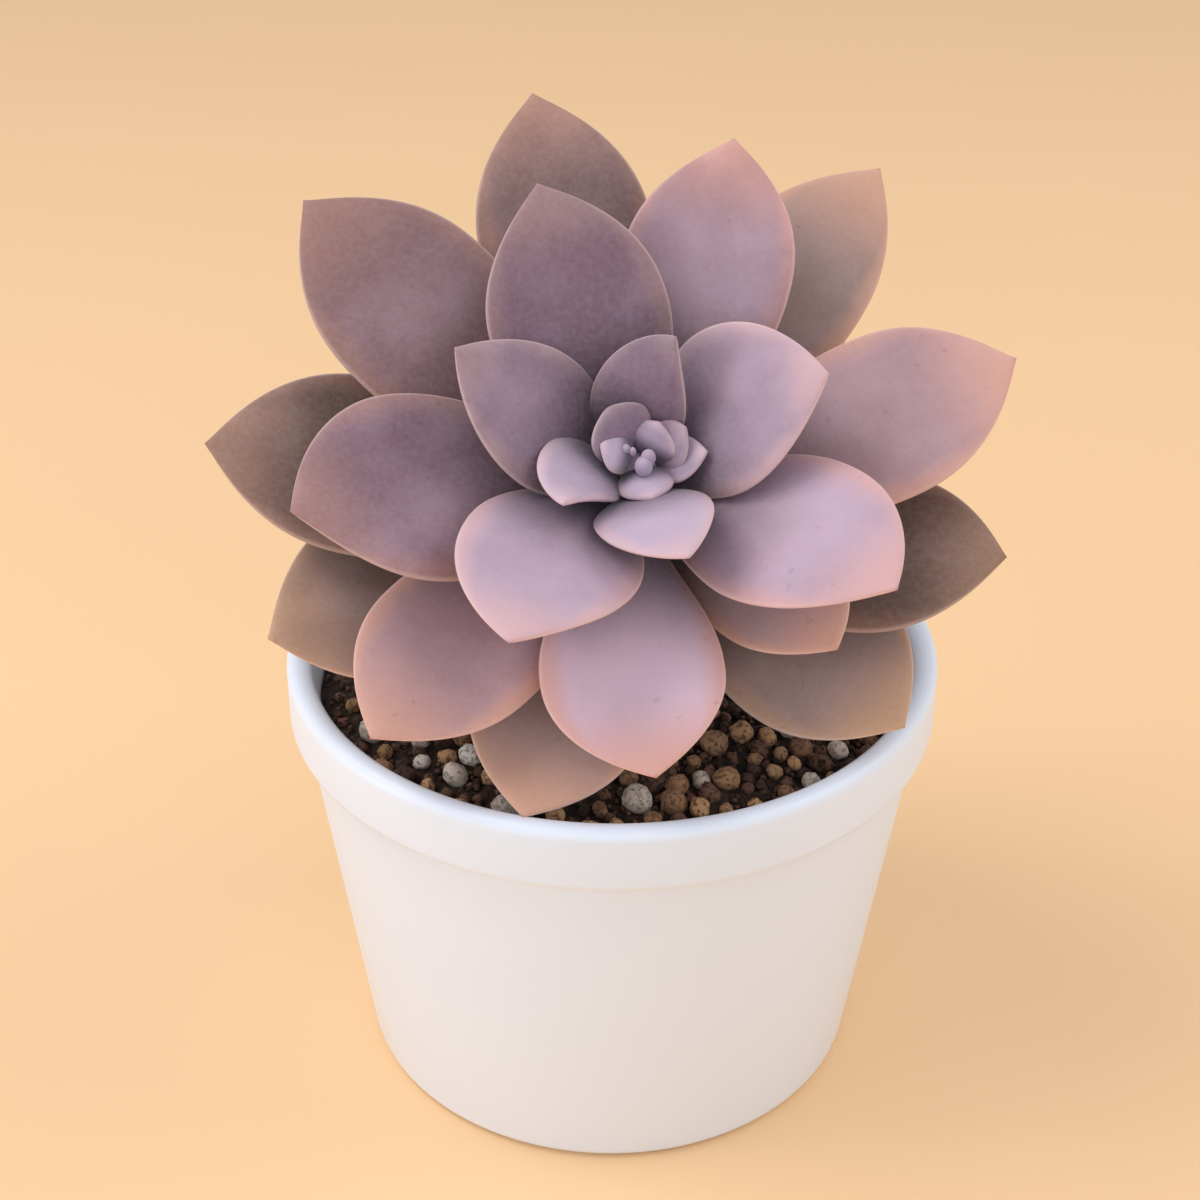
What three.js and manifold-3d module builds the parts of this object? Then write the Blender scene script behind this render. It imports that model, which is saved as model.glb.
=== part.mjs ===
// A potted rosette succulent, Graptopetalum superbum: about two dozen thick mauve leaves in a spiral
// round a short stem that leans forward out of a small white pot of gritty soil.
// Millimetres, +Z up. The origin is the centre of the pot's foot, on the surface it stands on, and the
// rosette faces -Y.
import * as THREE from "three";
import { mergeVertices } from "three/addons/utils/BufferGeometryUtils.js";
import Module from "manifold-3d";

const wasm = await Module();
wasm.setup();

// Running gap between two pieces that rest on each other.
const GAP = 0.3;

// Pot: a thrown and glazed cup with a raised band round its rim, a foot ring and one drain hole.
const POT_HEIGHT = 78;
const BAND_RADIUS = 55;
const BAND_HEIGHT = 11;
const RIM_INNER_RADIUS = 51;
const WALL_TOP_RADIUS = 52.4;
const FOOT_RADIUS = 43.6;
const FLOOR_THICKNESS = 5;
const FLOOR_RADIUS = 39.5;
const FOOT_RING_INNER_RADIUS = 36;
const FOOT_RING_HEIGHT = 1.6;
const FOOT_ROUNDING = 2;
const BAND_STEP = 2.4;
const BAND_EDGE = 0.9;
const RIM_ROUNDING = 1.8;
const DRAIN_RADIUS = 5.5;
const POT_SIDES = 48;
const ROUNDING_STEPS = 3;

// Soil: dark mix with a top of loose grit.
const SOIL_TOP = 70;
const SOIL_MOUND = 3;
const MOUND_RINGS = 4;
const GRIT_COUNT = 120;
const GRIT_RADIUS = [1.3, 2.5];
const GRIT_PROUD = 0.25;
const GRIT_WALL_CLEARANCE = 0.5;
const GRIT_SEED = 20;
const STREAM_MULTIPLIER = 1664525;
const STREAM_INCREMENT = 1013904223;
const STREAM_MODULUS = 2 ** 32;

// Stem: where it leaves the soil, where the lowest leaf sits, and how far the rosette leans.
const STEM_FOOT = new THREE.Vector3(1, 9, 52);
const STEM_RADIUS = 6;
const STEM_TIP_RADIUS = 3.2;
const STEM_SIDES = 12;
const STEM_BEND_START = 76;
const STEM_BEND_REACH = 8;
const STEM_BEND_STEPS = 6;
const ROSETTE_BASE = new THREE.Vector3(3, 1.2, 97.3);
const ROSETTE_LEAN = THREE.MathUtils.degToRad(38);
const ROSETTE_LENGTH = 26;

// Leaves follow a spiral: each is turned by this much from the next younger one.
const DIVERGENCE = -136.6;
const FIRST_AZIMUTH = 69;
const LEAF_PITCH = 1.15;
const LEAF_SIDES = 12;
const LEAF_STATIONS = 11;
const LINE_STEPS = 77;

// Shape shared by the leaves. Thickness is this much and a share of the length, the cup is a share of
// the width, and the widest place (the belly) is nearer the tip on older leaves, whose neck is
// narrower and whose shoulders are fuller.
const LEAF_THICKNESS = 2.5;
const THICKNESS_PER_LENGTH = 0.045;
const CUP_PER_WIDTH = 0.08;
const FIRST_BELLY = 0.34;
const BELLY_STEP = 0.03;
const LAST_BELLY = 0.6;
const FIRST_NECK_FILL = 0.6;
const NECK_FILL_STEP = 0.08;
const LAST_NECK_FILL = 1.35;
const FIRST_SHOULDER = 1.95;
const SHOULDER_STEP = 0.05;
const LAST_SHOULDER = 2.5;

// The outline's narrowest width at the neck, the share of the thickness above the middle line, how
// full the two faces are, and how the thickness starts, grows and ends along the leaf.
const NECK = 0.3;
const TOP_SHARE = 0.32;
const TOP_FILL = 0.7;
const UNDER_FILL = 0.9;
const BASE_THICKNESS = 0.7;
const THICKEST_PITCH = 1.2;
const TIP_FILL = 5;
const AT_POLE = 1e-6;
const MERGE_DISTANCE = 1e-3;

// One row for each leaf, youngest first: the turn off the spiral in degrees, length and width in mm,
// rise at the base and at the tip above the rosette's plane, sideways veer of the tip, and the share
// by which its left half is wider than the mean.
const LEAVES = [
  // turn, length, width, rise, tipRise, veer, lopsided
  [2, 19, 13.5, 50, 44, 52, -0.3],
  [15, 22.5, 15.3, 45, 67, -50, 0.12],
  [-7, 31, 18, 51, 47, 8, -0.03],
  [4, 34, 22, 38, 46, -6, 0],
  [3, 34.5, 27, 38, 44, -16, 0.18],
  [-8, 45.4, 27.5, 37, 37, 21, -0.09],
  [2, 46, 29, 26, 34, 5, 0.03],
  [7.5, 49.5, 28, 31, 33, -27, 0],
  [-10, 53.5, 32.5, 23, 28, 26, 0],
  [12, 55, 27.5, 20, 26, 11.5, 0],
  [-12, 48, 28, 15.5, 20, 14, -0.05],
  [0, 66, 30.5, 17, 22, -4, 0],
  [5.5, 60, 28.5, 16, 22, 9, 0],
  [-6, 56, 28, 14, 20, 11, -0.05],
  [11, 66, 29, 14, 20, 0, 0],
  [8, 40.5, 21, 22, 26, -18, 0.05],
  [-7, 64, 31, 12, 18, 6, 0],
  [10, 65, 26, 14, 22, 0, 0.1],
  [-14, 51, 27.5, 10, 16, 0, -0.03],
  [0, 52, 27, 10, 16, 0, 0],
  [-4, 56.5, 28, 17, 23, -4, -0.1],
  [-15, 57, 30, 10, 16, 2, -0.1],
  [0, 52, 27, 8, 14, 0, 0],
  [18, 51.5, 29, 11, 18, -7, 0.05],
];

// The crown's own small leaves, on a core at the stem's tip, and the bud in their middle. Their
// thickness and cup are shares of the width.
const CROWN_LEAVES = [
  // azimuth, length, width, rise, tipRise, height
  [3, 10.5, 8, 22, 32, 0.6],
  [136, 11, 9.3, 51, 67, 1.8],
  [27, 8.4, 8, 38, 49, 1.8],
  [286, 8.4, 7.8, 22, 38, 1.6],
  [190, 7.4, 7, 35, 60, 1.8],
  [46, 7, 8.4, 42, 66, 2.3],
];
const CROWN_LEAF_SIDES = 10;
const CROWN_LEAF_STATIONS = 7;
const CROWN_ROOT = 1.2;
const CROWN_RADIUS = 2.9;
const CROWN_HEIGHT = 1.6;
const CROWN_SIDES = 12;
const CROWN_STATIONS = 8;
const CROWN_CENTRE = [0.8, 0.4];
const CROWN_THICKNESS = 0.24;
const CROWN_CUP = 0.12;
const CROWN_BELLY = 0.52;
const CROWN_NECK_FILL = 1;
const CROWN_SHOULDER = 2.4;
const BUD = [1.8, -0.8, 31.4];
const BUD_SIZE = [1.6, 1.76, 2.4];
const BUD_SIDES = 8;
const BUD_STATIONS = 6;

const radians = THREE.MathUtils.degToRad;

// Half the leaf's width at a share of its length, as a share of its greatest half width, which is at
// the leaf's belly.
function outline(s, leaf) {
  if (s > leaf.belly) return 1 - Math.pow((s - leaf.belly) / (1 - leaf.belly), leaf.shoulder);
  return NECK + (1 - NECK) * Math.pow(Math.sin((Math.PI / 2) * (s / leaf.belly)), leaf.neckFill);
}

// Leaf thickness at a share of its length, as a share of the greatest.
function thickness(s) {
  const swell = Math.sin(Math.PI * Math.min(1, s * THICKEST_PITCH));
  return (BASE_THICKNESS + (1 - BASE_THICKNESS) * swell) * Math.sqrt(1 - Math.pow(s, TIP_FILL));
}

// The middle line of a leaf, bent up and to the side, as a list of points with their frames.
function middleLine(leaf) {
  const line = [];
  const at = new THREE.Vector3();
  for (let k = 0; k <= LINE_STEPS; k++) {
    const s = k / LINE_STEPS;
    const rise = radians(leaf.rise + (leaf.tipRise - leaf.rise) * s);
    const veer = radians(leaf.veer * s);
    const along = new THREE.Vector3(
      Math.cos(rise) * Math.cos(veer),
      Math.cos(rise) * Math.sin(veer),
      Math.sin(rise),
    );
    const across = new THREE.Vector3(-Math.sin(veer), Math.cos(veer), 0);
    const up = new THREE.Vector3().crossVectors(along, across);
    line.push({ at: at.clone(), along, across, up });
    at.addScaledVector(along, leaf.length / LINE_STEPS);
  }
  return line;
}

// A leaf as a sphere drawn out along its middle line, with its poles at the base and the tip.
function leafGeometry(leaf, sides, stations) {
  const geometry = new THREE.SphereGeometry(1, sides, stations);
  const position = geometry.attributes.position;
  const uv = geometry.attributes.uv;
  const line = middleLine(leaf);
  for (let k = 0; k < position.count; k++) {
    const s = 1 - uv.getY(k);
    const frame = line[Math.round(s * LINE_STEPS)];
    const turn = Math.atan2(position.getZ(k), position.getX(k));
    const onPole = s < AT_POLE || s > 1 - AT_POLE;
    const half = onPole ? 0 : (leaf.width / 2) * outline(s, leaf);
    const thick = onPole ? 0 : leaf.thick * thickness(s);
    const across = half * Math.cos(turn) * (1 + Math.sign(Math.cos(turn)) * leaf.lopsided);
    const side = Math.sin(turn);
    const above = TOP_SHARE * thick * Math.pow(Math.max(0, side), TOP_FILL);
    const below = (1 - TOP_SHARE) * thick * Math.pow(Math.max(0, -side), UNDER_FILL);
    const cup = leaf.cup * Math.pow(across / (leaf.width / 2), 2);
    const point = frame.at
      .clone()
      .addScaledVector(frame.across, across)
      .addScaledVector(frame.up, above - below + cup);
    position.setXYZ(k, point.x, point.y, point.z);
  }
  return solid(geometry);
}

// The geometry with its shared vertices merged, so that it is one closed surface.
function solid(geometry) {
  geometry.deleteAttribute("normal");
  geometry.deleteAttribute("uv");
  return mergeVertices(geometry, MERGE_DISTANCE);
}

// A closed geometry as a solid that can be joined or cut, and back.
function toManifold(geometry) {
  const closed = solid(geometry);
  return new wasm.Manifold(
    new wasm.Mesh({
      numProp: 3,
      vertProperties: closed.attributes.position.array,
      triVerts: new Uint32Array(closed.index.array),
    }),
  );
}
function fromManifold(whole) {
  const mesh = whole.getMesh();
  const geometry = new THREE.BufferGeometry();
  geometry.setAttribute("position", new THREE.BufferAttribute(mesh.vertProperties, 3));
  geometry.setIndex(new THREE.BufferAttribute(mesh.triVerts, 1));
  return geometry;
}

const plant = new THREE.Group();
const rosette = new THREE.Group();
rosette.position.copy(ROSETTE_BASE);
rosette.rotation.x = ROSETTE_LEAN;
plant.add(rosette);

// Radius of the leafy stem at a height in the rosette.
function stemRadius(height) {
  return STEM_RADIUS + (STEM_TIP_RADIUS - STEM_RADIUS) * (height / ROSETTE_LENGTH);
}

const leafMaterial = new THREE.MeshStandardMaterial({ color: 0xa98f9d, roughness: 0.7, metalness: 0 });
LEAVES.forEach(([turn, length, width, rise, tipRise, veer, lopsided], order) => {
  const leaf = { length, width, rise, tipRise, veer, lopsided };
  leaf.thick = LEAF_THICKNESS + THICKNESS_PER_LENGTH * length;
  leaf.cup = CUP_PER_WIDTH * width;
  leaf.belly = Math.min(LAST_BELLY, FIRST_BELLY + BELLY_STEP * order);
  leaf.neckFill = Math.min(LAST_NECK_FILL, FIRST_NECK_FILL + NECK_FILL_STEP * order);
  leaf.shoulder = Math.min(LAST_SHOULDER, FIRST_SHOULDER + SHOULDER_STEP * order);
  const mesh = new THREE.Mesh(leafGeometry(leaf, LEAF_SIDES, LEAF_STATIONS), leafMaterial);
  mesh.name = "leaf_" + String(order + 1).padStart(2, "0");
  const height = ROSETTE_LENGTH - LEAF_PITCH * order;
  mesh.position.set(stemRadius(height) + GAP, 0, height);
  const holder = new THREE.Group();
  holder.rotation.z = radians(FIRST_AZIMUTH + DIVERGENCE * (order - 1) + turn);
  holder.add(mesh);
  rosette.add(holder);
});

// Crown: the youngest leaves, grown together round the growing tip of the stem.
function crown() {
  const core = new THREE.SphereGeometry(1, CROWN_SIDES, CROWN_STATIONS);
  core.scale(CROWN_RADIUS, CROWN_RADIUS, CROWN_HEIGHT);
  core.translate(...CROWN_CENTRE, ROSETTE_LENGTH + GAP + CROWN_HEIGHT);
  const bud = new THREE.SphereGeometry(1, BUD_SIDES, BUD_STATIONS);
  bud.scale(...BUD_SIZE);
  bud.translate(...BUD);
  let whole = toManifold(core).add(toManifold(bud));
  for (const [azimuth, length, width, rise, tipRise, height] of CROWN_LEAVES) {
    const leaf = { length, width, rise, tipRise, veer: 0, lopsided: 0 };
    leaf.thick = CROWN_THICKNESS * width;
    leaf.cup = CROWN_CUP * width;
    leaf.belly = CROWN_BELLY;
    leaf.neckFill = CROWN_NECK_FILL;
    leaf.shoulder = CROWN_SHOULDER;
    const geometry = leafGeometry(leaf, CROWN_LEAF_SIDES, CROWN_LEAF_STATIONS);
    geometry.translate(CROWN_ROOT, 0, ROSETTE_LENGTH + height);
    geometry.rotateZ(radians(azimuth));
    geometry.translate(...CROWN_CENTRE, 0);
    whole = whole.add(toManifold(geometry));
  }
  return fromManifold(whole);
}
const crownMesh = new THREE.Mesh(crown(), leafMaterial);
crownMesh.name = "crown";
rosette.add(crownMesh);

// Stem: upright in the soil, then bent forward, and straight again where the leaves sit.
function stem() {
  const lean = new THREE.Vector3(0, -Math.sin(ROSETTE_LEAN), Math.cos(ROSETTE_LEAN));
  const soilLine = STEM_FOOT.clone().setZ(STEM_BEND_START);
  const tip = ROSETTE_BASE.clone().addScaledVector(lean, ROSETTE_LENGTH);
  const bend = new THREE.CubicBezierCurve3(
    soilLine,
    soilLine.clone().add(new THREE.Vector3(0, 0, STEM_BEND_REACH)),
    ROSETTE_BASE.clone().addScaledVector(lean, -STEM_BEND_REACH),
    ROSETTE_BASE,
  );
  const middle = [STEM_FOOT, ...bend.getPoints(STEM_BEND_STEPS), tip];
  const along = [new THREE.Vector3(0, 0, 1)];
  for (let k = 0; k <= STEM_BEND_STEPS; k++) along.push(bend.getTangent(k / STEM_BEND_STEPS));
  along.push(lean);
  const rightward = new THREE.Vector3(1, 0, 0);
  const geometry = new THREE.CylinderGeometry(1, 1, 1, STEM_SIDES, middle.length - 1);
  const position = geometry.attributes.position;
  for (let k = 0; k < position.count; k++) {
    const ring = Math.round((position.getY(k) + 0.5) * (middle.length - 1));
    const side = new THREE.Vector3().crossVectors(along[ring], rightward).normalize();
    const across = new THREE.Vector3().crossVectors(side, along[ring]);
    const radius = ring === middle.length - 1 ? STEM_TIP_RADIUS : STEM_RADIUS;
    const point = middle[ring]
      .clone()
      .addScaledVector(across, position.getX(k) * radius)
      .addScaledVector(side, -position.getZ(k) * radius);
    position.setXYZ(k, point.x, point.y, point.z);
  }
  return solid(geometry);
}
const stemMaterial = new THREE.MeshStandardMaterial({ color: 0x8d7f63, roughness: 0.8, metalness: 0 });
const stemMesh = new THREE.Mesh(stem(), stemMaterial);
stemMesh.name = "stem";
plant.add(stemMesh);

// Radius of the inside of the pot at a height.
function insideRadius(height) {
  const share = (height - FLOOR_THICKNESS) / (POT_HEIGHT - FLOOR_THICKNESS);
  return FLOOR_RADIUS + (RIM_INNER_RADIUS - FLOOR_RADIUS) * share;
}

// Pot: its section turned round the middle, from the foot ring up the outside and down the inside.
function pot() {
  const bandBottom = POT_HEIGHT - BAND_HEIGHT;
  const wallTop = bandBottom - BAND_STEP;
  const wallSlope = (WALL_TOP_RADIUS - FOOT_RADIUS) / wallTop;
  const section = new THREE.Path();
  section.moveTo(FOOT_RING_INNER_RADIUS, 0);
  section.lineTo(FOOT_RADIUS - FOOT_ROUNDING, 0);
  section.quadraticCurveTo(FOOT_RADIUS, 0, FOOT_RADIUS + wallSlope * FOOT_ROUNDING, FOOT_ROUNDING);
  section.lineTo(WALL_TOP_RADIUS, wallTop);
  section.quadraticCurveTo(WALL_TOP_RADIUS, bandBottom, BAND_RADIUS - BAND_EDGE, bandBottom);
  section.quadraticCurveTo(BAND_RADIUS, bandBottom, BAND_RADIUS, bandBottom + BAND_EDGE);
  section.lineTo(BAND_RADIUS, POT_HEIGHT - RIM_ROUNDING);
  section.quadraticCurveTo(BAND_RADIUS, POT_HEIGHT, BAND_RADIUS - RIM_ROUNDING, POT_HEIGHT);
  section.lineTo(RIM_INNER_RADIUS + RIM_ROUNDING, POT_HEIGHT);
  const below = POT_HEIGHT - RIM_ROUNDING;
  section.quadraticCurveTo(RIM_INNER_RADIUS, POT_HEIGHT, insideRadius(below), below);
  section.lineTo(FLOOR_RADIUS, FLOOR_THICKNESS);
  section.lineTo(DRAIN_RADIUS, FLOOR_THICKNESS);
  section.lineTo(DRAIN_RADIUS, FOOT_RING_HEIGHT);
  section.lineTo(FOOT_RING_INNER_RADIUS - FOOT_RING_HEIGHT, FOOT_RING_HEIGHT);
  section.lineTo(FOOT_RING_INNER_RADIUS, 0);
  const geometry = new THREE.LatheGeometry(section.getPoints(ROUNDING_STEPS), POT_SIDES);
  geometry.rotateX(Math.PI / 2);
  return solid(geometry);
}
const potMaterial = new THREE.MeshStandardMaterial({ color: 0xefedea, roughness: 0.35, metalness: 0 });
const potMesh = new THREE.Mesh(pot(), potMaterial);
potMesh.name = "pot";
plant.add(potMesh);

// A repeatable stream of numbers from 0 to 1.
function randomStream(seed) {
  let state = seed;
  return () => {
    state = (state * STREAM_MULTIPLIER + STREAM_INCREMENT) % STREAM_MODULUS;
    return state / STREAM_MODULUS;
  };
}

// Height of the soil's surface, which rises a little to the stem.
function soilHeight(radius) {
  return SOIL_TOP + SOIL_MOUND * (1 - Math.pow(radius / insideRadius(SOIL_TOP), 2));
}

// Soil: fills the pot up to a low mound, with a plain hole for the stem and grit bedded in its top.
function soil() {
  const bottom = FLOOR_THICKNESS + GAP;
  const section = new THREE.Path();
  section.moveTo(0, bottom);
  section.lineTo(insideRadius(bottom) - GAP, bottom);
  section.lineTo(insideRadius(SOIL_TOP) - GAP, SOIL_TOP);
  for (let k = MOUND_RINGS - 1; k > 0; k--) {
    const radius = (insideRadius(SOIL_TOP) * k) / MOUND_RINGS;
    section.lineTo(radius, soilHeight(radius));
  }
  section.lineTo(0, soilHeight(0));
  const fill = new THREE.LatheGeometry(section.getPoints(), POT_SIDES);
  fill.rotateX(Math.PI / 2);
  let whole = toManifold(fill);
  const next = randomStream(GRIT_SEED);
  const grains = [];
  for (let k = 0; k < GRIT_COUNT; k++) {
    const size = GRIT_RADIUS[0] + (GRIT_RADIUS[1] - GRIT_RADIUS[0]) * next();
    const radius = (insideRadius(SOIL_TOP) - GAP - GRIT_WALL_CLEARANCE - size) * Math.sqrt(next());
    const angle = 2 * Math.PI * next();
    const grain = new THREE.IcosahedronGeometry(size, 0);
    grain.rotateX(2 * Math.PI * next());
    grain.rotateZ(2 * Math.PI * next());
    grain.translate(
      radius * Math.cos(angle),
      radius * Math.sin(angle),
      soilHeight(radius) + GRIT_PROUD * size,
    );
    grains.push(toManifold(solid(grain)));
  }
  whole = wasm.Manifold.union([whole, ...grains]);
  const holeDepth = POT_HEIGHT - (STEM_FOOT.z - GAP);
  const hole = new THREE.CylinderGeometry(STEM_RADIUS + GAP, STEM_RADIUS + GAP, 2 * holeDepth, STEM_SIDES);
  hole.rotateX(Math.PI / 2);
  hole.translate(STEM_FOOT.x, STEM_FOOT.y, POT_HEIGHT);
  return fromManifold(whole.subtract(toManifold(hole)));
}
const soilMaterial = new THREE.MeshStandardMaterial({ color: 0x3a2a22, roughness: 0.95, metalness: 0 });
const soilMesh = new THREE.Mesh(soil(), soilMaterial);
soilMesh.name = "soil";
plant.add(soilMesh);

export default plant;
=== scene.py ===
import math
import random

import bmesh
import bpy
from mathutils import Matrix, Vector, noise


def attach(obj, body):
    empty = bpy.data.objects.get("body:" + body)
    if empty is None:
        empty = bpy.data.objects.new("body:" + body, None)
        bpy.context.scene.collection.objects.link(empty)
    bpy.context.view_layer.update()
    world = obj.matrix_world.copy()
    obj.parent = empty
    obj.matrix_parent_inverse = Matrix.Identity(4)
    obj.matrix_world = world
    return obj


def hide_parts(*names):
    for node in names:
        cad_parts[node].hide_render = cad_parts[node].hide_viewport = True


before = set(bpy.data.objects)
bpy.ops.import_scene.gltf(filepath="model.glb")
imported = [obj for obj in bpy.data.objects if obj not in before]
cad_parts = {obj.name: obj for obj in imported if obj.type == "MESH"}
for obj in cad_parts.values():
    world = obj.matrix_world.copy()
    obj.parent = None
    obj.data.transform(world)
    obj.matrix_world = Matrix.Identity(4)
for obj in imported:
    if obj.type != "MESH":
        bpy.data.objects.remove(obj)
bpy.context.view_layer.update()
MM = 0.001

# Camera. It stands about 35 cm from the rosette and looks down into it from the front, as the
# photograph does, with the pot's foot near the lower edge of the square picture.
PHOTO_SIDE = 1200
FOCAL_PIXELS = 2200
SENSOR_WIDTH = 36
CAMERA_PLACE = Vector((-1, -316, 277.5)) * MM
CAMERA_PITCH = math.radians(31.3)
CAMERA_YAW = math.radians(0.2)
CAMERA_ROLL = math.radians(0.3)

camera_data = bpy.data.cameras.new("camera")
camera_data.sensor_width = SENSOR_WIDTH
camera_data.lens = SENSOR_WIDTH * FOCAL_PIXELS / PHOTO_SIDE
camera = bpy.data.objects.new("camera", camera_data)
camera.matrix_world = (
    Matrix.Translation(CAMERA_PLACE)
    @ Matrix.Rotation(CAMERA_YAW, 4, "Z")
    @ Matrix.Rotation(math.pi / 2 - CAMERA_PITCH, 4, "X")
    @ Matrix.Rotation(CAMERA_ROLL, 4, "Z")
)
bpy.context.scene.collection.objects.link(camera)
bpy.context.scene.camera = camera
bpy.context.scene.view_settings.view_transform = "Standard"

# Light. A softbox high on the left and a lower one beside it give the soft shadow on the right, weak
# ones stand in front and on the right, and a pale even surround lights the rest. Their places and
# sides are in metres, and their powers in watts.
AIM = Vector((0, -10, 90)) * MM
SURROUND_COLOUR = (0.97, 0.97, 1.0, 1)
SURROUND_STRENGTH = 0.61


def softbox(name, place, side, power, colour):
    """A square area light that faces the plant."""
    light = bpy.data.lights.new(name, "AREA")
    light.size = side
    light.energy = power
    light.color = colour
    box = bpy.data.objects.new(name, light)
    box.location = place
    box.rotation_euler = (AIM - Vector(place)).to_track_quat("-Z", "Y").to_euler()
    bpy.context.scene.collection.objects.link(box)


softbox("key_softbox", (-0.50, -0.02, 0.85), 0.5, 3.0, (1.0, 0.97, 0.95))
softbox("side_softbox", (-1.00, -0.45, 0.35), 0.6, 3.0, (0.78, 0.88, 1.0))
softbox("front_softbox", (0.30, -1.10, 0.60), 0.8, 2.4, (0.68, 0.84, 1.0))
softbox("right_softbox", (0.70, 0.00, 0.70), 0.6, 2.0, (1.0, 0.97, 0.95))
surround = bpy.data.worlds.new("surround")
surround.use_nodes = True
background = surround.node_tree.nodes["Background"]
background.inputs["Color"].default_value = SURROUND_COLOUR
background.inputs["Strength"].default_value = SURROUND_STRENGTH
bpy.context.scene.world = surround

# Floor. A plain pale sheet of paper with a matt surface, wide enough to fill the camera's picture,
# so that no edge of it shows there.
FLOOR_SIDE = 6.0
PAPER_SHADES = ((0.94, 0.625, 0.345, 1), (0.97, 0.645, 0.36, 1))
# The Mix node has its share and its two colours at these inputs, and its colour at this output.
MIX_INPUTS = (0, 6, 7)
MIX_OUTPUT = 2


def new_material(name, roughness):
    """A material with its node tree and its shader."""
    material = bpy.data.materials.new(name)
    material.use_nodes = True
    shader = material.node_tree.nodes["Principled BSDF"]
    shader.inputs["Roughness"].default_value = roughness
    return material, material.node_tree, shader


def node(tree, kind, inputs=None, **settings):
    """A node of that kind, with its settings made and its inputs set or linked."""
    made = tree.nodes.new("ShaderNode" + kind)
    for name, value in settings.items():
        setattr(made, name, value)
    for name, value in (inputs or {}).items():
        if isinstance(value, bpy.types.NodeSocket):
            tree.links.new(value, made.inputs[name])
        else:
            made.inputs[name].default_value = value
    return made


def mixed(tree, share, first, second, how="MIX"):
    """Two colours mixed by a share."""
    sockets = dict(zip(MIX_INPUTS, (share, first, second)))
    return node(tree, "Mix", sockets, data_type="RGBA", blend_type=how).outputs[MIX_OUTPUT]


def ranged(tree, value, low, high, to_low=0.0, to_high=1.0):
    """A value carried smoothly from one range to another and held at the ends."""
    limits = {"Value": value, "From Min": low, "From Max": high, "To Min": to_low, "To Max": to_high}
    return node(tree, "MapRange", limits, interpolation_type="SMOOTHSTEP").outputs["Result"]


def cloudy(tree, size, detail=3.0, roughness=0.5):
    """Noise in the piece's own coordinates, whose patches are about that size in metres."""
    place = node(tree, "TexCoord").outputs["Object"]
    settings = {"Vector": place, "Scale": 1 / size, "Detail": detail, "Roughness": roughness}
    return node(tree, "TexNoise", settings).outputs["Fac"]


def bumpy(tree, shader, height, distance, strength=1.0):
    """Fine relief of that depth in metres on the shader's surface."""
    relief = node(tree, "Bump", {"Height": height, "Distance": distance, "Strength": strength})
    tree.links.new(relief.outputs["Normal"], shader.inputs["Normal"])


def finished(name, bm, material, smooth=True):
    """The bmesh as an object with that material."""
    mesh = bpy.data.meshes.new(name)
    bm.to_mesh(mesh)
    bm.free()
    mesh.materials.append(material)
    for face in mesh.polygons:
        face.use_smooth = smooth
    piece = bpy.data.objects.new(name, mesh)
    bpy.context.scene.collection.objects.link(piece)
    return piece


paper, tree, shader = new_material("pale_paper", 0.9)
tree.links.new(mixed(tree, cloudy(tree, 120 * MM), *PAPER_SHADES), shader.inputs["Base Color"])
bm = bmesh.new()
bmesh.ops.create_grid(bm, x_segments=1, y_segments=1, size=FLOOR_SIDE / 2)
finished("floor", bm, paper, smooth=False)

# Pot. A white glazed cup, cast in one piece, with a raised band round its rim, a foot ring and a
# drain hole. Its section is drawn with sharp corners, rounded one by one, and spun.
POT_HEIGHT = 78 * MM
BAND_RADIUS = 55 * MM
BAND_HEIGHT = 11 * MM
BAND_STEP = 2.4 * MM
RIM_INNER_RADIUS = 51 * MM
WALL_TOP_RADIUS = 52.4 * MM
FOOT_RADIUS = 43.6 * MM
FLOOR_THICKNESS = 5 * MM
FLOOR_RADIUS = 39.5 * MM
FOOT_RING_RADIUS = 36 * MM
FOOT_RING_HEIGHT = 1.6 * MM
DRAIN_RADIUS = 5.5 * MM
POT_STEPS = 160
CORNER_STEPS = 6
WELD_DISTANCE = 0.001 * MM
GLAZE_SHADES = ((0.79, 0.86, 0.97, 1), (0.83, 0.89, 0.99, 1))


def rounded(bm, radius, height, rounding):
    """Rounds the corner of a section that lies nearest to that place."""
    place = Vector((radius, 0, height))
    corner = min(bm.verts, key=lambda v: (v.co - place).length)
    bmesh.ops.bevel(
        bm, geom=[corner], offset=rounding, offset_type="OFFSET", segments=CORNER_STEPS,
        affect="VERTICES", profile=0.5, material=-1,
    )


def spun(bm, steps):
    """Turns a flat section, drawn as one face, round the upright axis into a closed solid."""
    bmesh.ops.delete(bm, geom=bm.faces[:], context="FACES_ONLY")
    bmesh.ops.spin(
        bm, geom=bm.verts[:] + bm.edges[:], cent=(0, 0, 0), axis=(0, 0, 1),
        angle=2 * math.pi, steps=steps, use_merge=True,
    )
    bmesh.ops.remove_doubles(bm, verts=bm.verts[:], dist=WELD_DISTANCE)
    bmesh.ops.recalc_face_normals(bm, faces=bm.faces[:])


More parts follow.
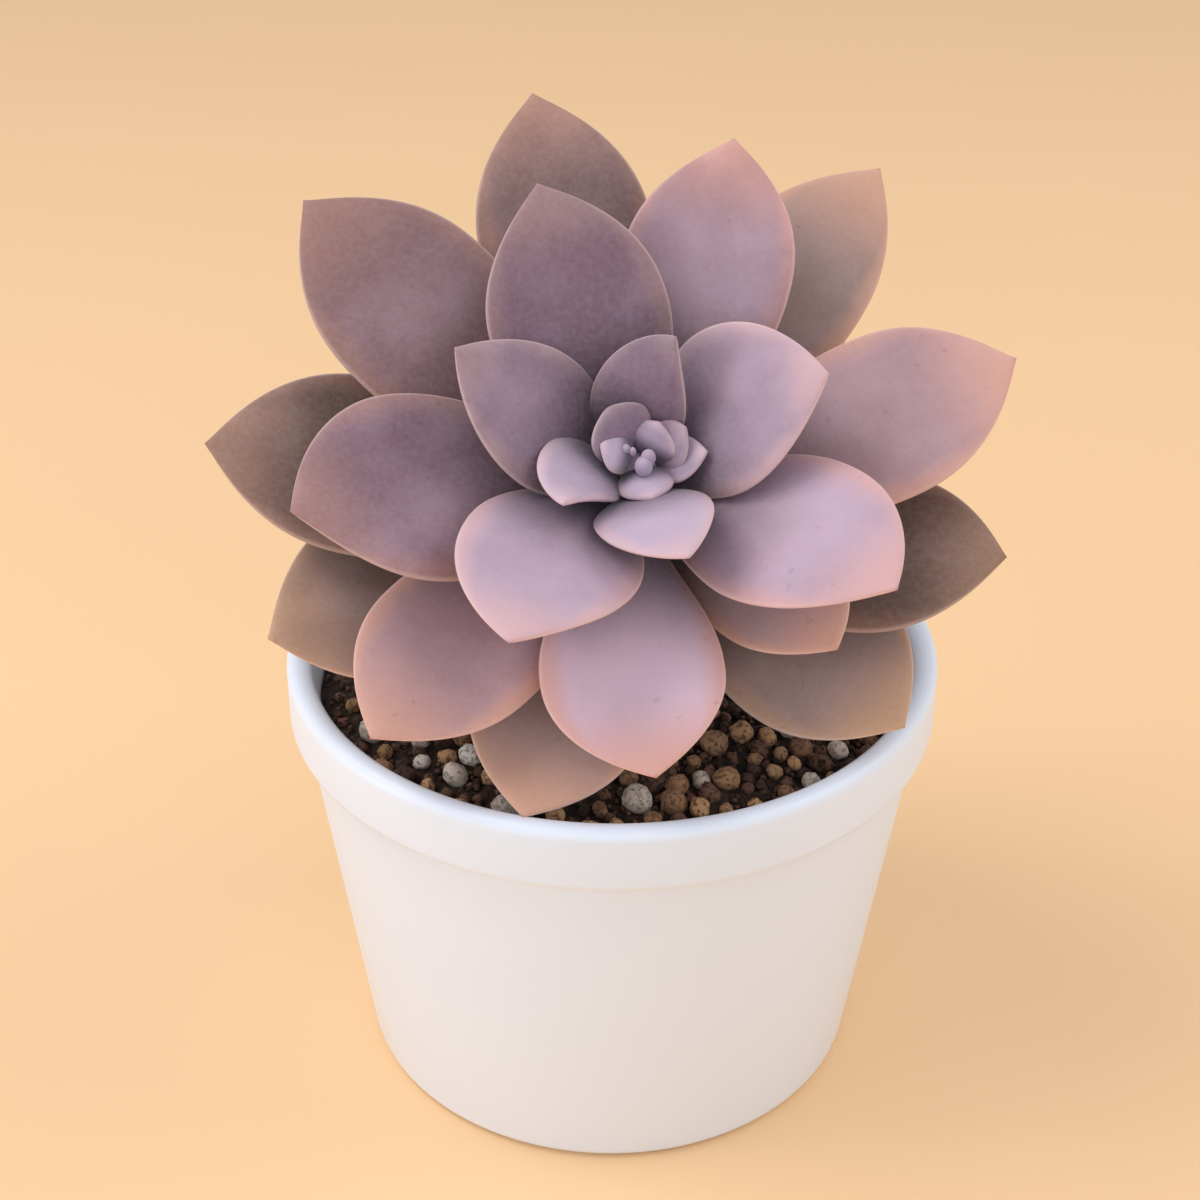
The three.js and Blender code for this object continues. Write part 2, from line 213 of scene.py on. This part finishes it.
band_bottom = POT_HEIGHT - BAND_HEIGHT
wall_top = band_bottom - BAND_STEP
section = [
    (FOOT_RING_RADIUS, 0),
    (FOOT_RADIUS, 0),
    (WALL_TOP_RADIUS, wall_top),
    (WALL_TOP_RADIUS, band_bottom),
    (BAND_RADIUS, band_bottom),
    (BAND_RADIUS, POT_HEIGHT),
    (RIM_INNER_RADIUS, POT_HEIGHT),
    (FLOOR_RADIUS, FLOOR_THICKNESS),
    (DRAIN_RADIUS, FLOOR_THICKNESS),
    (DRAIN_RADIUS, FOOT_RING_HEIGHT),
    (FOOT_RING_RADIUS - FOOT_RING_HEIGHT, FOOT_RING_HEIGHT),
]
corners = [
    # radius and height of the corner, and its rounding in millimetres
    (FOOT_RADIUS, 0, 2.0),
    (FOOT_RING_RADIUS, 0, 0.5),
    (WALL_TOP_RADIUS, band_bottom, 2.0),
    (BAND_RADIUS, band_bottom, 1.3),
    (BAND_RADIUS, POT_HEIGHT, 1.9),
    (RIM_INNER_RADIUS, POT_HEIGHT, 1.9),
    (FLOOR_RADIUS, FLOOR_THICKNESS, 3.0),
    (DRAIN_RADIUS, FLOOR_THICKNESS, 0.8),
    (DRAIN_RADIUS, FOOT_RING_HEIGHT, 0.6),
]
bm = bmesh.new()
bm.faces.new([bm.verts.new((radius, 0, height)) for radius, height in section])
for radius, height, rounding in corners:
    rounded(bm, radius, height, rounding * MM)
spun(bm, POT_STEPS)

glaze, tree, shader = new_material("white_glaze", 0.36)
tree.links.new(mixed(tree, cloudy(tree, 30 * MM), *GLAZE_SHADES), shader.inputs["Base Color"])
gloss = ranged(tree, cloudy(tree, 12 * MM), 0.3, 0.7, 0.33, 0.42)
tree.links.new(gloss, shader.inputs["Roughness"])
bumpy(tree, shader, cloudy(tree, 6 * MM, 2.0), 0.05 * MM, 0.5)
pot = finished("glazed_pot", bm, glaze)
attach(pot, "root")
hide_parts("pot")

# Soil. A dark mix of peat and fine grit fills the pot to 8 mm under the rim and rises a little
# towards the stem. Its top is uneven where the crumbs have settled.
SOIL_TOP = 70 * MM
SOIL_MOUND = 3 * MM
SOIL_GAP = 0.3 * MM
SOIL_CORNER = 4 * MM
SOIL_RINGS = 70
SOIL_STEPS = 220
CRUMB_HEIGHT = 0.9 * MM
CRUMB_SIZE = 2.6 * MM
FINE_CRUMB_SIZE = 1.1 * MM
SOIL_SHADES = ((0.012, 0.007, 0.005, 1), (0.07, 0.037, 0.022, 1))


def inside_radius(height):
    """Radius of the inside of the pot at a height."""
    share = (height - FLOOR_THICKNESS) / (POT_HEIGHT - FLOOR_THICKNESS)
    return FLOOR_RADIUS + (RIM_INNER_RADIUS - FLOOR_RADIUS) * share


soil_radius = inside_radius(SOIL_TOP) - SOIL_GAP


def soil_height(radius):
    """Height of the soil at a distance from the pot's middle, without its crumbs."""
    return SOIL_TOP + SOIL_MOUND * (1 - (radius / soil_radius) ** 2)


soil_bottom = FLOOR_THICKNESS + SOIL_GAP
corner_top = soil_bottom + SOIL_CORNER
bm = bmesh.new()
line = [bm.verts.new((0, 0, soil_bottom))]
line.append(bm.verts.new((inside_radius(soil_bottom) - SOIL_CORNER, 0, soil_bottom)))
line.append(bm.verts.new((inside_radius(corner_top) - SOIL_GAP, 0, corner_top)))
for k in range(SOIL_RINGS, -1, -1):
    radius = soil_radius * k / SOIL_RINGS
    line.append(bm.verts.new((radius, 0, soil_height(radius))))
for first, second in zip(line, line[1:]):
    bm.edges.new((first, second))
spun(bm, SOIL_STEPS)
for vertex in bm.verts:
    if vertex.co.z > SOIL_TOP - SOIL_GAP:
        crumb = noise.noise(vertex.co / CRUMB_SIZE) + noise.noise(vertex.co / FINE_CRUMB_SIZE) / 2
        vertex.co.z += CRUMB_HEIGHT * crumb

peat, tree, shader = new_material("dark_soil_mix", 0.95)
crumbly = ranged(tree, cloudy(tree, 1.5 * MM, 6, 0.7), 0.4, 0.66)
tree.links.new(mixed(tree, crumbly, *SOIL_SHADES), shader.inputs["Base Color"])
bumpy(tree, shader, cloudy(tree, 1 * MM, 6, 0.7), 0.5 * MM)
soil = finished("soil_mix", bm, peat)
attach(soil, "root")
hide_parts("soil")

# Grit. Rounded grains of pumice, baked clay and bark lie loose on the mix, a little sunk in it, the
# largest about 5 mm across, with finer crumbs between them.
GRAIN_SUBDIVISIONS = 2
CRUMB_SUBDIVISIONS = 1
GRAIN_ROUGHNESS = 0.9
WALL_CLEARANCE = 0.2 * MM
SMALLNESS = 1.6
LUMPS_PER_RADIUS = 1.6
SEED_SPREAD = 50
# The limits of a grain's three half sizes, as shares of its radius.
GRAIN_FORM = ((0.9, 1.1), (0.85, 1.05), (0.75, 0.95))
STEM_FOOT = Vector((1, 9, 52)) * MM
STEM_RADIUS = 6 * MM
draw = random.Random(20)
grains = []


def scattered(count, smallest, largest, apart, tries=40):
    """Places and radii for grains, clear of the wall, the stem and the grains already there."""
    placed = []
    for _ in range(count * tries):
        if len(placed) == count:
            break
        radius = smallest + (largest - smallest) * draw.random() ** SMALLNESS
        reach = (soil_radius - radius - WALL_CLEARANCE) * math.sqrt(draw.random())
        angle = draw.uniform(0, 2 * math.pi)
        place = Vector((reach * math.cos(angle), reach * math.sin(angle)))
        if (place - STEM_FOOT.xy).length < STEM_RADIUS + radius:
            continue
        if any((place - other).length < apart * (radius + wide) for other, wide in grains):
            continue
        grains.append((place, radius))
        placed.append((place, radius))
    return placed


def grit(name, places, subdivisions, lumpiness, raised, material):
    """A layer of loose grains of one kind, each a lumpy ball pressed out of round."""
    bm = bmesh.new()
    shade = bm.verts.layers.float.new("grain_tone")
    for place, radius in places:
        seat = Vector((place.x, place.y, soil_height(place.length) + raised * radius))
        turn = draw.uniform(0, math.pi)
        turned = Matrix.Rotation(turn, 4, Vector((draw.random(), draw.random(), 1)))
        half_sizes = [radius * draw.uniform(*limits) for limits in GRAIN_FORM]
        shape = Matrix.Diagonal((*half_sizes, 1))
        seed = Vector((draw.random(), draw.random(), draw.random())) * SEED_SPREAD
        tone = draw.random()
        ball = bmesh.ops.create_icosphere(bm, subdivisions=subdivisions, radius=1)["verts"]
        for vertex in ball:
            lump = 1 + lumpiness * noise.noise(vertex.co * LUMPS_PER_RADIUS + seed)
            vertex.co = seat + (turned @ shape @ (vertex.co * lump))
            vertex[shade] = tone
    piece = finished(name, bm, material)
    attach(piece, "root")
    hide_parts("soil")


def grain_material(name, dark, light, painted_hollow_shade):
    """A rough mineral or bark surface whose grains differ in tone, with painted shade in its hollows.
    """
    material, tree, shader = new_material(name, GRAIN_ROUGHNESS)
    tone = node(tree, "Attribute", attribute_name="grain_tone").outputs["Fac"]
    colour = mixed(tree, tone, dark, light)
    # The hollows of the fine relief are painted darker: painted shade in the pores.
    pits = ranged(tree, cloudy(tree, 0.8 * MM, 4, 0.65), 0.34, 0.5)
    tree.links.new(mixed(tree, pits, painted_hollow_shade, colour), shader.inputs["Base Color"])
    bumpy(tree, shader, pits, 0.25 * MM)
    return material


pumice = grain_material("pumice", (0.60, 0.50, 0.40, 1), (0.90, 0.83, 0.74, 1), (0.56, 0.46, 0.37, 1))
clay = grain_material("baked_clay", (0.26, 0.13, 0.07, 1), (0.60, 0.35, 0.17, 1), (0.20, 0.10, 0.05, 1))
bark = grain_material("bark", (0.05, 0.026, 0.018, 1), (0.20, 0.10, 0.06, 1), (0.015, 0.008, 0.006, 1))
# Each kind has its count, its smallest and largest radius and how close its grains may lie, then its
# lumpiness and how far its grains' middles stand above the mix, as a share of their radius.
grit("pumice_grains", scattered(75, 1.5 * MM, 2.7 * MM, 1.0), GRAIN_SUBDIVISIONS, 0.2, 0.5, pumice)
grit("clay_grains", scattered(150, 1.3 * MM, 2.5 * MM, 0.95), GRAIN_SUBDIVISIONS, 0.25, 0.45, clay)
grit("bark_grains", scattered(330, 1.0 * MM, 2.4 * MM, 0.85), GRAIN_SUBDIVISIONS, 0.5, 0.25, bark)
grit("fine_crumbs", scattered(900, 0.45 * MM, 0.9 * MM, 0.7, 8), CRUMB_SUBDIVISIONS, 0.5, 0.4, bark)

# Stem. It comes straight out of the soil, bends forward under the weight of the rosette and
# carries the leaves round its upper part. The bare length keeps the scars of fallen leaves.
STEM_TIP_RADIUS = 3.2 * MM
STEM_BEND_START = 76 * MM
STEM_BEND_REACH = 8 * MM
ROSETTE_BASE = Vector((3, 1.2, 97.3)) * MM
ROSETTE_LEAN = math.radians(38)
ROSETTE_LENGTH = 26 * MM
# The shares of the stem's length where it starts to bend and where its leafy part starts.
UPRIGHT_END = 0.3
LEAFY_START = 0.65
STEM_RINGS = 90
STEM_STEPS = 40
STEM_INSET = 0.4 * MM
LOOK_AHEAD = 0.01
SCAR_DEPTH = 0.35 * MM
SCARS_AROUND = 3
SCAR_TWIST = 60
SCAR_ROWS = 95
STALK_SHADES = ((0.16, 0.12, 0.075, 1), (0.36, 0.28, 0.2, 1))

lean = Vector((0, -math.sin(ROSETTE_LEAN), math.cos(ROSETTE_LEAN)))
soil_line = Vector((STEM_FOOT.x, STEM_FOOT.y, STEM_BEND_START))
stem_tip = ROSETTE_BASE + lean * ROSETTE_LENGTH


def stem_middle(share):
    """A point on the stem's middle line, at a share of its length."""
    if share < UPRIGHT_END:
        return STEM_FOOT.lerp(soil_line, share / UPRIGHT_END)
    if share > LEAFY_START:
        return ROSETTE_BASE.lerp(stem_tip, (share - LEAFY_START) / (1 - LEAFY_START))
    bent = (share - UPRIGHT_END) / (LEAFY_START - UPRIGHT_END)
    left = 1 - bent
    up = soil_line + Vector((0, 0, STEM_BEND_REACH))
    down = ROSETTE_BASE - lean * STEM_BEND_REACH
    lower = soil_line * left**3 + up * 3 * bent * left**2
    upper = down * 3 * bent**2 * left + ROSETTE_BASE * bent**3
    return lower + upper


def stem_girth(share):
    """Radius of the stem at a share of its length."""
    leafy = max(0, (share - LEAFY_START) / (1 - LEAFY_START))
    return STEM_RADIUS + (STEM_TIP_RADIUS - STEM_RADIUS) * leafy


bm = bmesh.new()
bmesh.ops.create_cone(
    bm, cap_ends=True, segments=STEM_STEPS, radius1=1, radius2=1, depth=1,
    matrix=Matrix.Translation((0, 0, 0.5)),
)
upright = [edge for edge in bm.edges if abs(edge.verts[0].co.z - edge.verts[1].co.z) > 0.5]
bmesh.ops.subdivide_edges(bm, edges=upright, cuts=STEM_RINGS, use_grid_fill=True)
for vertex in bm.verts:
    share = vertex.co.z
    middle = stem_middle(share)
    before = stem_middle(max(0, share - LOOK_AHEAD))
    after = stem_middle(min(1, share + LOOK_AHEAD))
    ahead = (after - before).normalized()
    side = ahead.cross(Vector((1, 0, 0))).normalized()
    around = side.cross(ahead)
    angle = math.atan2(vertex.co.y, vertex.co.x)
    row = math.sin(share * SCAR_ROWS)
    scar = SCAR_DEPTH * row * math.sin(angle * SCARS_AROUND + share * SCAR_TWIST)
    girth = stem_girth(share) - STEM_INSET + scar
    vertex.co = middle + around * (vertex.co.x * girth) - side * (vertex.co.y * girth)
bmesh.ops.recalc_face_normals(bm, faces=bm.faces[:])

stalk, tree, shader = new_material("woody_stem", 0.8)
tree.links.new(mixed(tree, cloudy(tree, 3 * MM, 5, 0.6), *STALK_SHADES), shader.inputs["Base Color"])
bumpy(tree, shader, cloudy(tree, 1.2 * MM, 5, 0.6), 0.3 * MM)
stem = finished("leaf_stem", bm, stalk)
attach(stem, "root")
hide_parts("stem")

# Leaves. Each is thick and fleshy, a little cupped, widest towards a short point, with a rounded
# margin and back, and grows straight from the stem. The youngest are steep and violet, the oldest
# flat and grey-brown, and most wear a fine waxy bloom. Their colour also holds painted light: leaves
# that face the light are painted paler and those turned away or shaded by others darker, the flesh
# darkens towards the root, partly from worn bloom and partly as painted shade, and the margin has a
# thin painted highlight. Their own sizes are in mm and degrees.
LEAF_PITCH = 1.15 * MM
LEAF_GAP = 0.3 * MM
DIVERGENCE = -136.6
FIRST_AZIMUTH = 69
LEAF_SIDES = 72
LEAF_STATIONS = 64
LINE_STEPS = 128
LEAF_THICKNESS = 2.5
THICKNESS_PER_LENGTH = 0.045
CUP_PER_WIDTH = 0.05
# The root's share of the greatest width and of the greatest thickness, and how much of the thickness
# lies above the middle line.
NECK = 0.3
BASE_THICKNESS = 0.7
TOP_SHARE = 0.55
UNDER_FILL = 0.9
THICKEST_PITCH = 1.2
TIP_FILL = 5
POINT_PINCH = 0.25
POINT_REACH = 0.025
RIPPLE = 0.45 * MM
RIPPLE_SIZE = 14 * MM
AT_POLE = 1e-4
PATCH_SIZE = 14 * MM
PATCH_SPREAD = 0.7
EDGE_WAVER = 0.35
DUST = (0.68, 0.60, 0.68, 1)
FLECK = (0.16, 0.09, 0.10, 1)
PALE_RIM_AND_HIGHLIGHT = (0.80, 0.63, 0.60, 1)
# The first leaf's value, the growth from leaf to leaf, and the oldest leaves' value.
BELLY = (0.34, 0.03, 0.6)
NECK_FILL = (0.6, 0.08, 1.35)
SHOULDER = (1.95, 0.05, 2.5)
LEAVES = [
    # turn off the spiral, length, width, rise, tip rise, veer, how much wider one half is, bloom and
    # painted light
    (2, 19, 13.5, 50, 44, 52, -0.3, 0.55),
    (15, 22.5, 15.3, 45, 67, -50, 0.12, 0.1),
    (-7, 31, 18, 51, 47, 8, -0.03, 0.75),
    (4, 34, 22, 38, 46, -6, 0, 0.1),
    (3, 34.5, 27, 38, 44, -16, 0.18, 0.4),
    (-8, 45.4, 27.5, 37, 37, 21, -0.09, 0.65),
    (2, 46, 29, 26, 34, 5, 0.03, 0),
    (7.5, 49.5, 28, 31, 33, -27, 0, 0.65),
    (-10, 53.5, 32.5, 23, 28, 26, 0, 0.1),
    (12, 55, 27.5, 20, 26, 11.5, 0, 0.4),
    (-12, 48, 28, 15.5, 20, 14, -0.05, 1),
    (0, 66, 30.5, 17, 22, -4, 0, 0),
    (5.5, 60, 28.5, 16, 22, 9, 0, 0.5),
    (-6, 56, 28, 14, 20, 11, -0.05, 0.5),
    (11, 66, 29, 14, 20, 0, 0, 0.1),
    (8, 40.5, 21, 22, 26, -18, 0.05, 0.6),
    (-7, 64, 31, 12, 18, 6, 0, 0),
    (10, 65, 26, 14, 22, 0, 0.1, 0.5),
    (-14, 51, 27.5, 10, 16, 0, -0.03, 0.7),
    (0, 52, 27, 10, 16, 0, 0, 0.5),
    (-4, 56.5, 28, 17, 23, -4, -0.1, 0),
    (-15, 57, 30, 10, 16, 2, -0.1, 0.4),
    (0, 52, 27, 8, 14, 0, 0, 0.5),
    (18, 51.5, 29, 11, 18, -7, 0.05, 0.6),
]


def grown(values, order):
    """A value that grows from leaf to leaf, up to that of the oldest."""
    first, step, last = values
    return min(last, first + step * order)


def leaf_outline(along, leaf):
    """Half width at a share of the length, as a share of the greatest, with the tip drawn in."""
    belly = leaf["belly"]
    if along < belly:
        return NECK + (1 - NECK) * math.sin(math.pi / 2 * along / belly) ** leaf["neck_fill"]
    pinch = 1 - POINT_PINCH * math.exp((along - 1) / POINT_REACH)
    return pinch * (1 - ((along - belly) / (1 - belly)) ** leaf["shoulder"])


def leaf_thickness(along):
    """Thickness at a share of the length, as a share of the greatest."""
    swell = math.sin(math.pi * min(1, along * THICKEST_PITCH))
    return (BASE_THICKNESS + (1 - BASE_THICKNESS) * swell) * math.sqrt(max(0, 1 - along**TIP_FILL))


def leaf_line(leaf):
    """The leaf's middle line as a list of points, each with the ways across and up from it."""
    line = []
    at = Vector()
    for k in range(LINE_STEPS + 1):
        share = k / LINE_STEPS
        up_angle = math.radians(leaf["rise"] + (leaf["tip_rise"] - leaf["rise"]) * share)
        side_angle = math.radians(leaf["veer"] * share)
        across = Vector((-math.sin(side_angle), math.cos(side_angle), 0))
        level = math.cos(up_angle)
        along = Vector((level * across.y, -level * across.x, math.sin(up_angle)))
        line.append((at.copy(), across, along.cross(across)))
        at += along * (leaf["length"] / LINE_STEPS)
    return line


def leafy_mesh():
    """An empty bmesh whose points can hold their place on the leaf, and the leaf's share of bloom and
    painted light.
    """
    bm = bmesh.new()
    bm.verts.layers.float_vector.new("leaf_place")
    bm.verts.layers.float.new("leaf_bloom_and_painted_light")
    return bm


def leaf_shape(bm, placed, leaf, sides, stations):
    """Adds a leaf to the bmesh: a ball drawn out along the middle line, then put in its place."""
    line = leaf_line(leaf)
    place = bm.verts.layers.float_vector["leaf_place"]
    bloom_and_painted_light = bm.verts.layers.float["leaf_bloom_and_painted_light"]
    ball = bmesh.ops.create_uvsphere(bm, u_segments=sides, v_segments=stations, radius=1)["verts"]
    for vertex in ball:
        share = math.acos(max(-1, min(1, -vertex.co.z))) / math.pi
        at, across, up = line[round(share * LINE_STEPS)]
        angle = math.atan2(vertex.co.y, vertex.co.x)
        on_pole = share < AT_POLE or share > 1 - AT_POLE
        half = 0 if on_pole else leaf["width"] / 2 * leaf_outline(share, leaf)
        depth = 0 if on_pole else leaf["thick"] * leaf_thickness(share)
        out = half * math.cos(angle) * (1 + math.copysign(1, math.cos(angle)) * leaf["lopsided"])
        above = TOP_SHARE * depth * max(0, math.sin(angle))
        below = (1 - TOP_SHARE) * depth * max(0, -math.sin(angle)) ** UNDER_FILL
        lift = above - below + leaf["cup"] * (out / (leaf["width"] / 2)) ** 2
        vertex[place] = (0 if on_pole else math.cos(angle), share, leaf["age"])
        vertex[bloom_and_painted_light] = leaf["bloom_and_painted_light"]
        point = placed @ (at + across * out + up * lift)
        swell = leaf["ripple"] * noise.noise(point / RIPPLE_SIZE) * math.sin(math.pi * share)
        vertex.co = point + (placed.to_3x3() @ up) * swell


rosette = Matrix.Translation(ROSETTE_BASE) @ Matrix.Rotation(ROSETTE_LEAN, 4, "X")


def stem_radius(height):
    """Radius of the leafy part of the stem at a height above its lowest leaf."""
    return STEM_RADIUS + (STEM_TIP_RADIUS - STEM_RADIUS) * height / ROSETTE_LENGTH


def ramp(tree, value, stops):
    """A colour ramp through the given places and colours."""
    made = node(tree, "ValToRGB", {"Fac": value})
    elements = made.color_ramp.elements
    while len(elements) < len(stops):
        elements.new(0.5)
    for element, (position, colour) in zip(elements, stops):
        element.position = position
        element.color = colour
    return made.outputs["Color"]


def worked(tree, operation, *values, held=False):
    """The outcome of a calculation on the values, held from 0 to 1 where asked."""
    inputs = dict(enumerate(values))
    return node(tree, "Math", inputs, operation=operation, use_clamp=held).outputs[0]


flesh, tree, shader = new_material("mauve_leaf", 0.62)
flesh_values = {
    "Specular IOR Level": 0.3,
    "Subsurface Weight": 0.12,
    "Subsurface Radius": (1.0, 0.4, 0.35),
    "Subsurface Scale": 1.5 * MM,
    "Sheen Weight": 0.15,
    "Sheen Roughness": 0.5,
    "Sheen Tint": (0.95, 0.88, 1.0, 1),
}
for name, value in flesh_values.items():
    shader.inputs[name].default_value = value
leaf_place = node(tree, "Attribute", attribute_name="leaf_place").outputs["Vector"]
parts = node(tree, "SeparateXYZ", {"Vector": leaf_place}).outputs
across = worked(tree, "ABSOLUTE", parts["X"])
along = parts["Y"]
age = parts["Z"]
leaf_bloom_and_painted_light = node(tree, "Attribute", attribute_name="leaf_bloom_and_painted_light").outputs["Fac"]
# The flesh without bloom and in painted shade, with a full bloom and in painted light, and at its
# flushed margin, from the youngest leaf to the oldest.
bare_and_shaded = ramp(tree, age, [
    (0.0, (0.21, 0.125, 0.18, 1)),
    (0.35, (0.21, 0.115, 0.15, 1)),
    (0.5, (0.22, 0.12, 0.13, 1)),
    (0.7, (0.13, 0.078, 0.062, 1)),
    (1.0, (0.13, 0.078, 0.062, 1)),
])
waxed_and_lit = ramp(tree, age, [
    (0.0, (0.64, 0.52, 0.66, 1)),
    (0.3, (0.66, 0.48, 0.60, 1)),
    (0.45, (0.70, 0.50, 0.59, 1)),
    (0.57, (0.66, 0.42, 0.46, 1)),
    (0.75, (0.56, 0.40, 0.36, 1)),
    (1.0, (0.54, 0.38, 0.35, 1)),
])
edge = ramp(tree, age, [
    (0.0, (0.66, 0.47, 0.53, 1)),
    (0.25, (0.68, 0.42, 0.43, 1)),
    (0.36, (0.70, 0.37, 0.33, 1)),
    (0.60, (0.66, 0.36, 0.27, 1)),
    (1.0, (0.58, 0.35, 0.21, 1)),
])
patches = cloudy(tree, PATCH_SIZE, 3, 0.5)
patchy = worked(tree, "MULTIPLY_ADD", patches, PATCH_SPREAD, -PATCH_SPREAD / 2)
# Each leaf's share stands for its bloom and for painted light: leaves facing the light are painted
# paler, those turned away or shaded by others darker.
coat_and_painted_light = worked(tree, "ADD", patchy, leaf_bloom_and_painted_light, held=True)
heart = mixed(tree, coat_and_painted_light, bare_and_shaded, waxed_and_lit)
wavy = worked(tree, "MULTIPLY_ADD", patches, EDGE_WAVER, across)
near_edge = ranged(tree, wavy, 0.82, 1.25)
near_tip = ranged(tree, along, 0.7, 0.98)
margin = worked(tree, "MAXIMUM", near_edge, near_tip)
# The margin is painted darker too on leaves with a small share of bloom and painted light.
margin_coat_and_light = ranged(tree, coat_and_painted_light, 0.0, 0.55, 0.5, 1.0)
flushed = mixed(tree, margin, heart, mixed(tree, 1.0, edge, margin_coat_and_light, "MULTIPLY"))
# The flesh darkens towards the root: partly the bloom worn thin there, partly painted shade from the
# leaves above.
root_shade = ranged(tree, along, 0.12, 0.62, 0.22, 1.0)
deepened = mixed(tree, 1.0, flushed, root_shade, "MULTIPLY")
speckle = ranged(tree, cloudy(tree, 0.9 * MM, 3, 0.6), 0.3, 0.75, 0.0, 0.08)
dusted = mixed(tree, speckle, deepened, DUST)
flecks = ranged(tree, cloudy(tree, 2.2 * MM, 2, 0.5), 0.68, 0.76, 0.0, 0.2)
flecked = mixed(tree, flecks, dusted, FLECK)
# A thin pale line along the margin: partly the margin's own paler colour, partly a painted highlight
# where the rounded edge catches the light.
pale_rim_and_highlight = ranged(tree, across, 0.95, 1.0, 0.0, 0.35)
tree.links.new(mixed(tree, pale_rim_and_highlight, flecked, PALE_RIM_AND_HIGHLIGHT), shader.inputs["Base Color"])
bumpy(tree, shader, cloudy(tree, 1.5 * MM, 4, 0.55), 0.05 * MM, 0.5)

for order, row in enumerate(LEAVES):
    turn, length, width, rise, tip_rise, veer, lopsided, bloom_and_painted_light = row
    height = ROSETTE_LENGTH - LEAF_PITCH * order
    azimuth = math.radians(FIRST_AZIMUTH + DIVERGENCE * (order - 1) + turn)
    seat = Matrix.Translation((stem_radius(height) + LEAF_GAP, 0, height))
    bm = leafy_mesh()
    leaf = {
        "length": length * MM, "width": width * MM, "rise": rise, "tip_rise": tip_rise, "veer": veer,
        "lopsided": lopsided, "bloom_and_painted_light": bloom_and_painted_light, "age": order / (len(LEAVES) - 1), "ripple": RIPPLE,
        "thick": (LEAF_THICKNESS + THICKNESS_PER_LENGTH * length) * MM,
        "cup": CUP_PER_WIDTH * width * MM,
        "belly": grown(BELLY, order),
        "neck_fill": grown(NECK_FILL, order),
        "shoulder": grown(SHOULDER, order),
    }
    placed = rosette @ Matrix.Rotation(azimuth, 4, "Z") @ seat
    leaf_shape(bm, placed, leaf, LEAF_SIDES, LEAF_STATIONS)
    bmesh.ops.recalc_face_normals(bm, faces=bm.faces[:])
    number = f"{order + 1:02d}"
    mauve_leaf = finished("mauve_leaf_" + number, bm, flesh)
    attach(mauve_leaf, "root")
    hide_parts("leaf_" + number)

# Crown. The youngest leaves are still folded over the growing tip: a round spoon at the back, five
# small cups round it and four buds in their middle, all grown together at their roots.
CORE_RADIUS = 2.9 * MM
CORE_HEIGHT = 1.6 * MM
CROWN_CENTRE = (0.8 * MM, 0.4 * MM)
CROWN_ROOT = 1.2 * MM
CROWN_THICKNESS = 0.3
CROWN_SIDES = 48
CROWN_STATIONS = 32
BUD_SIDES = 32
BUD_STATIONS = 24
BUD_ALONG = 0.6
CROWN_LEAVES = [
    # azimuth, length, width, rise, tip rise, height, cup, belly, neck fill, shoulder, bloom and painted
    # light
    (3, 10.5, 8, 22, 32, 0.6, 0.05, 0.5, 1, 2.0, 0.4),
    (130, 10.8, 10.8, 46, 62, 1.0, 0.1, 0.55, 0.8, 2.8, 0.1),
    (29, 9.4, 8.6, 36, 47, 0.6, 0.05, 0.52, 1, 2.4, 0.2),
    (284, 7.8, 8.8, 22, 38, 2.0, -0.05, 0.36, 0.35, 2.3, 0.7),
    (174, 5.6, 7.2, 18, 44, 4.6, -0.02, 0.4, 0.35, 2.3, 0.65),
    (58, 5.9, 9.6, 30, 48, 3.0, 0.03, 0.42, 0.5, 1.8, 0.35),
]
BUDS = [
    # place in the rosette's own frame and half sizes, in millimetres
    ((1.5, -1.7, 31.5), (1.4, 1.5, 1.9)),
    ((2.2, -0.4, 31.9), (1.15, 1.2, 1.7)),
    ((-1.2, 1.0, 31.6), (0.7, 0.8, 1.3)),
    ((-0.2, 0.7, 31.4), (0.6, 0.7, 1.2)),
]
# The buds' share of bloom and painted light.
BUD_BLOOM_AND_PAINTED_LIGHT = 0.6

bm = leafy_mesh()
centre = Matrix.Translation((*CROWN_CENTRE, 0))
for row in CROWN_LEAVES:
    azimuth, length, width, rise, tip_rise, height, cup, belly, neck_fill, shoulder, bloom_and_painted_light = row
    seat = Matrix.Translation((CROWN_ROOT, 0, ROSETTE_LENGTH + height * MM))
    leaf = {
        "length": length * MM, "width": width * MM, "rise": rise, "tip_rise": tip_rise, "veer": 0,
        "lopsided": 0, "bloom_and_painted_light": bloom_and_painted_light, "age": 0, "ripple": 0, "thick": CROWN_THICKNESS * width * MM,
        "cup": cup * width * MM, "belly": belly, "neck_fill": neck_fill, "shoulder": shoulder,
    }
    placed = rosette @ centre @ Matrix.Rotation(math.radians(azimuth), 4, "Z") @ seat
    leaf_shape(bm, placed, leaf, CROWN_SIDES, CROWN_STATIONS)
place = bm.verts.layers.float_vector["leaf_place"]
bloom_and_light_layer = bm.verts.layers.float["leaf_bloom_and_painted_light"]
core_place = Vector((*CROWN_CENTRE, ROSETTE_LENGTH + LEAF_GAP + CORE_HEIGHT))
balls = [(core_place, Vector((CORE_RADIUS, CORE_RADIUS, CORE_HEIGHT)))]
balls += [(Vector(bud) * MM, Vector(size) * MM) for bud, size in BUDS]
for middle, size in balls:
    shape = rosette @ Matrix.Translation(middle) @ Matrix.Diagonal((*size, 1))
    ball = bmesh.ops.create_uvsphere(
        bm, u_segments=BUD_SIDES, v_segments=BUD_STATIONS, radius=1, matrix=shape,
    )["verts"]
    for vertex in ball:
        vertex[place] = (0, BUD_ALONG, 0)
        vertex[bloom_and_light_layer] = BUD_BLOOM_AND_PAINTED_LIGHT
bmesh.ops.recalc_face_normals(bm, faces=bm.faces[:])
crown = finished("young_crown", bm, flesh)
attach(crown, "root")
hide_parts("crown")
